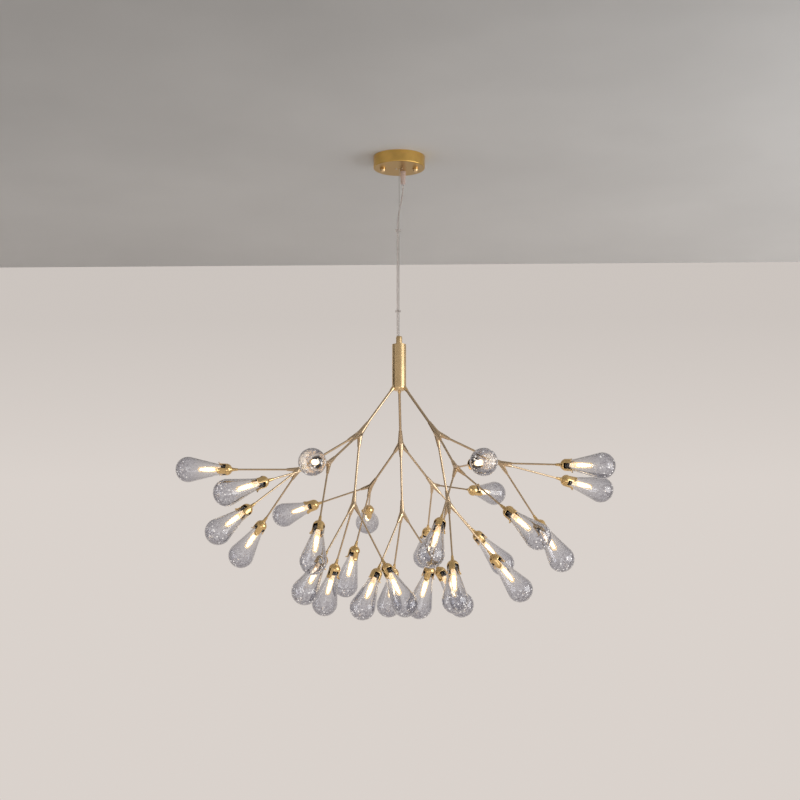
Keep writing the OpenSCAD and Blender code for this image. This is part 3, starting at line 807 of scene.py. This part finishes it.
class CHANDELIER_OT_forks(bpy.types.Operator):
    """Casts the first and second forks, whose sockets run smoothly into each other"""

    bl_idname = "chandelier.forks"
    bl_label = "Forks"

    def execute(self, context):
        brass = satin_metal("fork_brass", colours().tube, 0.25, 0.25)
        first = self.casting("first_fork_master", middle=7.2, back=(3.7, 32), front=(3.2, 32), voxel=0.7)
        for i, side in enumerate(SIDES):
            fork = copies(f"{side}_first_casting", first, [first_fork_place(i)])
            self.seat(fork, f"{side}_first_fork", brass)
        discard(first)
        second = self.casting("second_fork_master", middle=6.0, back=(3.2, 28), front=(2.7, 28), voxel=0.6)
        for i, side in enumerate(SIDES):
            forks = copies(f"{side}_second_castings", second, [second_fork_place(i, b) for b in THIRDS])
            self.seat(forks, f"{side}_second_forks", brass)
        discard(second)
        return {"FINISHED"}

    def seat(self, fork, node, brass):
        dress(fork, brass)
        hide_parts(node)
        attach(fork, "branches")

    def casting(self, name, middle, back, front, voxel):
        """Cones and a ball, in millimetres, melted together, smoothed and cut off square at the sockets."""
        spare = 5
        root = middle * 0.95 * MM
        lean = sizes().fork_lean
        lines = [(Matrix.Rotation(math.pi, 4, "X"), *back)]
        lines += [(turn_lean(THIRD_TURN * third, lean), *front) for third in THIRDS]
        pieces = []
        for place, radius, length in lines:
            deselect()
            whole = length + spare
            bpy.ops.mesh.primitive_cone_add(vertices=32, radius1=root, radius2=radius * MM,
                                            depth=whole * MM, location=(0, 0, whole * MM / 2))
            cone = named("cone")
            cone.data.transform(place)
            pieces.append(cone)
        deselect()
        bpy.ops.mesh.primitive_uv_sphere_add(segments=32, ring_count=16, radius=middle * MM)
        pieces.append(named("middle"))
        fork = joined(name, pieces)
        modified(fork, "REMESH", mode="VOXEL", voxel_size=voxel * MM)
        modified(fork, "SMOOTH", factor=0.5, iterations=24)
        for place, radius, length in lines:
            self.trim(fork, place, length * MM)
        only(fork)
        bpy.ops.object.shade_smooth_by_angle(angle=math.radians(40))
        return fork

    def trim(self, fork, place, length):
        """Cuts a socket off square at its length and closes the cut."""
        axis = (place.to_3x3() @ Vector((0, 0, 1))).normalized()
        only(fork)
        bpy.ops.object.mode_set(mode="EDIT")
        bpy.ops.mesh.select_all(action="SELECT")
        bpy.ops.mesh.bisect(plane_co=axis * length, plane_no=axis, use_fill=True, clear_outer=True)
        bpy.ops.object.mode_set(mode="OBJECT")


# Calyxes


class CHANDELIER_OT_calyxes(bpy.types.Operator):
    """Shapes the calyxes: a collar, a dome and three petals that curl out"""

    bl_idname = "chandelier.calyxes"
    bl_label = "Calyxes"

    collar_from = 140 * MM
    collar_to = 154 * MM
    ring = 36
    petal_half = math.radians(30)
    petal_steps = 7
    # How a petal widens, narrows to its round tip, bows out and curls, as shares or in metres
    petal_belly = 0.12
    tip_narrowing = 0.98
    tip_power = 3.5
    tip_width = 0.14
    slowing = 0.9
    petal_bow = 0.2 * MM
    curl_from = 0.35
    curl_out = 5.0 * MM

    def execute(self, context):
        brass = satin_metal("calyx_brass", colours().calyx, 0.22, 0.6)
        master = self.calyx()
        for i, side in enumerate(SIDES):
            for b in THIRDS:
                calyxes = copies(f"{side}_petalled_calyxes_{b + 1}", master, stem_places(i, b))
                dress(calyxes, brass)
                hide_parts(f"{side}_calyxes_{b + 1}")
                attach(calyxes, "branches")
        discard(master)
        return {"FINISHED"}

    def calyx(self):
        s = sizes()
        dome_start = 4.6 * MM
        dome_at = self.collar_to + math.sqrt(s.dome_radius ** 2 - dome_start ** 2)
        collar = [(2.8 * MM, self.collar_from), (3.0 * MM, self.collar_from + 3 * MM),
                  (3.2 * MM, self.collar_from + 7 * MM), (3.9 * MM, self.collar_from + 11 * MM)]
        start = -math.acos(dome_start / s.dome_radius)
        dome = arc((0, dome_at), s.dome_radius, start, 0, 7)
        calyx = turned("calyx_master", collar + dome, self.ring, closed=False)
        only(calyx)
        bpy.ops.object.mode_set(mode="EDIT")
        for third in THIRDS:
            self.petal(calyx, dome_at)
            bpy.ops.mesh.select_all(action="SELECT")
            bpy.ops.transform.rotate(value=THIRD_TURN, orient_axis="Z", center_override=(0, 0, 0))
        bpy.ops.object.mode_set(mode="OBJECT")
        modified(calyx, "SOLIDIFY", thickness=s.petal_wall, offset=-1)
        modified(calyx, "SUBSURF", levels=1, render_levels=1)
        bpy.ops.object.shade_smooth()
        return calyx

    def petal(self, calyx, dome_at):
        """Extrudes one petal from the dome's rim, around +X, narrowing to a round tip that curls out."""
        s = sizes()
        bpy.ops.mesh.select_all(action="DESELECT")
        bpy.ops.object.mode_set(mode="OBJECT")
        mesh = calyx.data
        near, spare_angle = 0.1 * MM, 0.02
        on_rim = {
            v.index for v in mesh.vertices
            if abs(v.co.z - dome_at) < near and v.co.x > 0
            and abs(math.atan2(v.co.y, v.co.x)) < self.petal_half + spare_angle
            and abs(math.hypot(v.co.x, v.co.y) - s.dome_radius) < near
        }
        for edge in mesh.edges:
            edge.select = all(i in on_rim for i in edge.vertices)
        for v in mesh.vertices:
            v.select = v.index in on_rim
        bpy.ops.object.mode_set(mode="EDIT")
        middle, height, width = s.dome_radius, dome_at, 1.0
        for i in range(1, self.petal_steps + 1):
            t = i / self.petal_steps
            arch = math.sin(math.pi * t)
            round_tip = math.sqrt(1 - self.tip_narrowing * t ** self.tip_power)
            curled = max(0, (t - self.curl_from) / (1 - self.curl_from)) ** 2
            next_height = dome_at + s.petal_length * math.sin(math.pi / 2 * t ** self.slowing)
            next_width = max(self.tip_width, (1 + self.petal_belly * arch) * round_tip)
            next_middle = s.dome_radius + self.petal_bow * arch + self.curl_out * curled
            bpy.ops.mesh.extrude_region_move(TRANSFORM_OT_translate={
                "value": (next_middle - middle, 0, next_height - height)})
            narrow = next_width / width
            bpy.ops.transform.resize(value=(narrow, narrow, 1),
                                     center_override=(next_middle, 0, next_height))
            middle, height, width = next_middle, next_height, next_width


# Lamps and lampholders


def mark_length(piece, start, end):
    """Stores on each point how far it is from the start to the end height, from 0 to 1."""
    mark = piece.data.attributes.new("toward_tip", "FLOAT", "POINT")
    for v, value in zip(piece.data.vertices, mark.data):
        value.value = min(1, max(0, (v.co.z - start) / (end - start)))


class CHANDELIER_OT_lamps(bpy.types.Operator):
    """Turns the lampholders and the glowing lamps that stand in them"""

    bl_idname = "chandelier.lamps"
    bl_label = "Lamps"

    bulb_from = 192.3 * MM
    bulb_to = 232 * MM

    def execute(self, context):
        holder = self.holder()
        dress(holder, holder_black())
        lamp = self.lamp()
        for i, side in enumerate(SIDES):
            places = [place for b in THIRDS for place in stem_places(i, b)]
            holders = copies(f"{side}_turned_lampholders", holder, places)
            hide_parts(f"{side}_lampholders")
            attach(holders, "branches")
            lamps = copies(f"{side}_glowing_lamps", lamp, places)
            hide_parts(f"{side}_lamps")
            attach(lamps, "branches")
        discard(holder)
        discard(lamp)
        return {"FINISHED"}

    def holder(self):
        """A grooved barrel with a flange that the glass stands on."""
        barrel, groove, flange, seat = 8.8, 8.3, 11.3, 5.4
        foot = [(0.5, 158.4), (barrel - 0.6, 158.4), (barrel, 159.0), (barrel, 161.5)]
        rim = [(flange - 0.3, 162.6), (flange, 163.0), (flange, 165.8), (flange - 0.3, 166.1),
               (barrel, 166.3)]
        grooves = [point for z in (168.0, 172.0)
                   for point in ((barrel, z), (groove, z + 0.4), (groove, z + 1.2), (barrel, z + 1.6))]
        mouth = [(barrel, 177.5), (barrel - 0.6, 178.3), (seat, 178.3), (seat, 176.8), (0, 176.8)]
        outline = [(r * MM, z * MM) for r, z in foot + rim + grooves + mouth]
        holder = turned("holder_master", outline, 32)
        bpy.ops.object.shade_smooth_by_angle(angle=math.radians(35))
        return holder

    def lamp(self):
        """A resin foot and a clouded bulb round a bright core."""
        foot = [(4.9, 177.0), (4.9, 179.0), (5.6, 180.0), (5.6, 190.5), (5.0, 192.0), (5.6, 192.6)]
        radius, straight_to = 6.2, 226.2
        bulb = [(6.1, 193.5), (radius, 195), (radius, 205), (radius, 215), (radius, straight_to)]
        end = arc((0, straight_to), radius, 0, math.pi / 2, 6)[1:]
        end[-1] = (0, end[-1][1])
        lamp = turned("lamp_master", [(r * MM, z * MM) for r, z in foot + bulb + end], 24)
        mark_length(lamp, self.bulb_from, self.bulb_to)
        finishes = (lamp_resin(), lamp_shell(), lamp_glow())
        dress(lamp, *finishes)
        for p in lamp.data.polygons:
            p.material_index = 1 if p.center.z > self.bulb_from else 0
        core_end = arc((0, 226.5), 1.6, 0, math.pi / 2, 4)
        core_end[-1] = (0, core_end[-1][1])
        core_side = [(1.6, 194), (3.0, 199), (3.0, 213), (2.4, 221)]
        core = turned("lamp_core", [(r * MM, z * MM) for r, z in core_side + core_end], 16)
        dress(core, *finishes)
        for p in core.data.polygons:
            p.material_index = 2
        return joined("lamp_master", [lamp, core])


# Glass drops


class CHANDELIER_OT_drops(bpy.types.Operator):
    """Blows the smoked glass drops: a neck, a cone and a ball in one smooth wall"""

    bl_idname = "chandelier.drops"
    bl_label = "Glass Drops"

    neck_from = 166.2 * MM
    neck_to = 179.7 * MM
    cone_bow = 1.06

    def execute(self, context):
        glass = smoked_glass()
        master = self.drop()
        for i, side in enumerate(SIDES):
            for b in THIRDS:
                drops = copies(f"{side}_drops_{b + 1}", master, stem_places(i, b))
                dress(drops, glass)
                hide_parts(f"{side}_glasses_{b + 1}")
                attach(drops, "branches")
        discard(master)
        return {"FINISHED"}

    def drop(self):
        s = sizes()
        lean = math.asin((s.drop_radius - s.neck_radius) / (s.drop_at - self.neck_to))
        ball = arc((0, s.drop_at), s.drop_radius, -lean, math.pi / 2, 22)
        ball[-1] = (0, s.drop_at + s.drop_radius)
        neck = [(s.neck_radius, self.neck_from), (s.neck_radius, self.neck_to - 4 * MM)]
        wider, higher = ball[0][0] - s.neck_radius, ball[0][1] - self.neck_to
        cone = [(s.neck_radius + wider * t ** self.cone_bow, self.neck_to + higher * t)
                for t in (0.04, 0.2, 0.4, 0.6, 0.8)]
        drop = turned("drop_master", neck + cone + ball, 56, closed=False)
        modified(drop, "SOLIDIFY", thickness=s.glass_wall, offset=-1)
        bpy.ops.object.shade_smooth()
        mark_length(drop, self.neck_from, s.drop_at + s.drop_radius)
        return drop


# Materials of the nodes that stay


class CHANDELIER_OT_metalwork(bpy.types.Operator):
    """Gives the canopy, the hub, the tubes and the small parts their finishes"""

    bl_idname = "chandelier.metalwork"
    bl_label = "Metalwork"

    def execute(self, context):
        brass = satin_metal("hub_brass", colours().brass, 0.27, 0.01)
        tube = satin_metal("tube_brass", colours().tube, 0.24, 0.01)
        steel = satin_metal("steel", (0.56, 0.55, 0.53), 0.3, 0.15)
        finishes = {"brass": brass, "canopy_brass": canopy_metal(), "steel": steel,
                    "clear_plastic": clear_plastic("clip_plastic", colours().clear, 0.72),
                    "white_plastic": white_plastic()}
        replaced = ("_first_fork", "_second_forks", "_calyxes", "_glasses", "_lamps", "_lampholders",
                    "power_cord")
        for part in frame["record"]["subparts"]:
            node = part["node"]
            if node.endswith(("_arm", "_branches", "_stems")):
                dress_node(node, tube)
            elif not any(word in node for word in replaced):
                dress_node(node, finishes[part["material_slot"]])
        dress_node("cord_gland", clear_plastic("gland_plastic", colours().gland, 0.35))
        return {"FINISHED"}


class CHANDELIER_PT_pieces(bpy.types.Panel):
    """Lists the chandelier's pieces, sizes and colours"""

    bl_label = "Chandelier"
    bl_idname = "CHANDELIER_PT_pieces"
    bl_space_type = "VIEW_3D"
    bl_region_type = "UI"
    bl_category = "Chandelier"

    def draw(self, context):
        layout = self.layout
        for operator in OPERATORS:
            layout.operator(operator.bl_idname)
        for group in (context.scene.chandelier_sizes, context.scene.chandelier_colours):
            for name in group.__annotations__:
                layout.prop(group, name)


OPERATORS = (
    CHANDELIER_OT_stage,
    CHANDELIER_OT_cord,
    CHANDELIER_OT_forks,
    CHANDELIER_OT_calyxes,
    CHANDELIER_OT_lamps,
    CHANDELIER_OT_drops,
    CHANDELIER_OT_metalwork,
)
CLASSES = (ChandelierSizes, ChandelierColours, *OPERATORS, CHANDELIER_PT_pieces)


def register():
    for item in CLASSES:
        bpy.utils.register_class(item)
    bpy.types.Scene.chandelier_sizes = bpy.props.PointerProperty(type=ChandelierSizes)
    bpy.types.Scene.chandelier_colours = bpy.props.PointerProperty(type=ChandelierColours)


def unregister():
    del bpy.types.Scene.chandelier_colours
    del bpy.types.Scene.chandelier_sizes
    for item in reversed(CLASSES):
        bpy.utils.unregister_class(item)


def main():
    register()
    bpy.ops.chandelier.stage()
    bpy.ops.chandelier.cord()
    bpy.ops.chandelier.forks()
    bpy.ops.chandelier.calyxes()
    bpy.ops.chandelier.lamps()
    bpy.ops.chandelier.drops()
    bpy.ops.chandelier.metalwork()


if __name__ == "__main__":
    main()
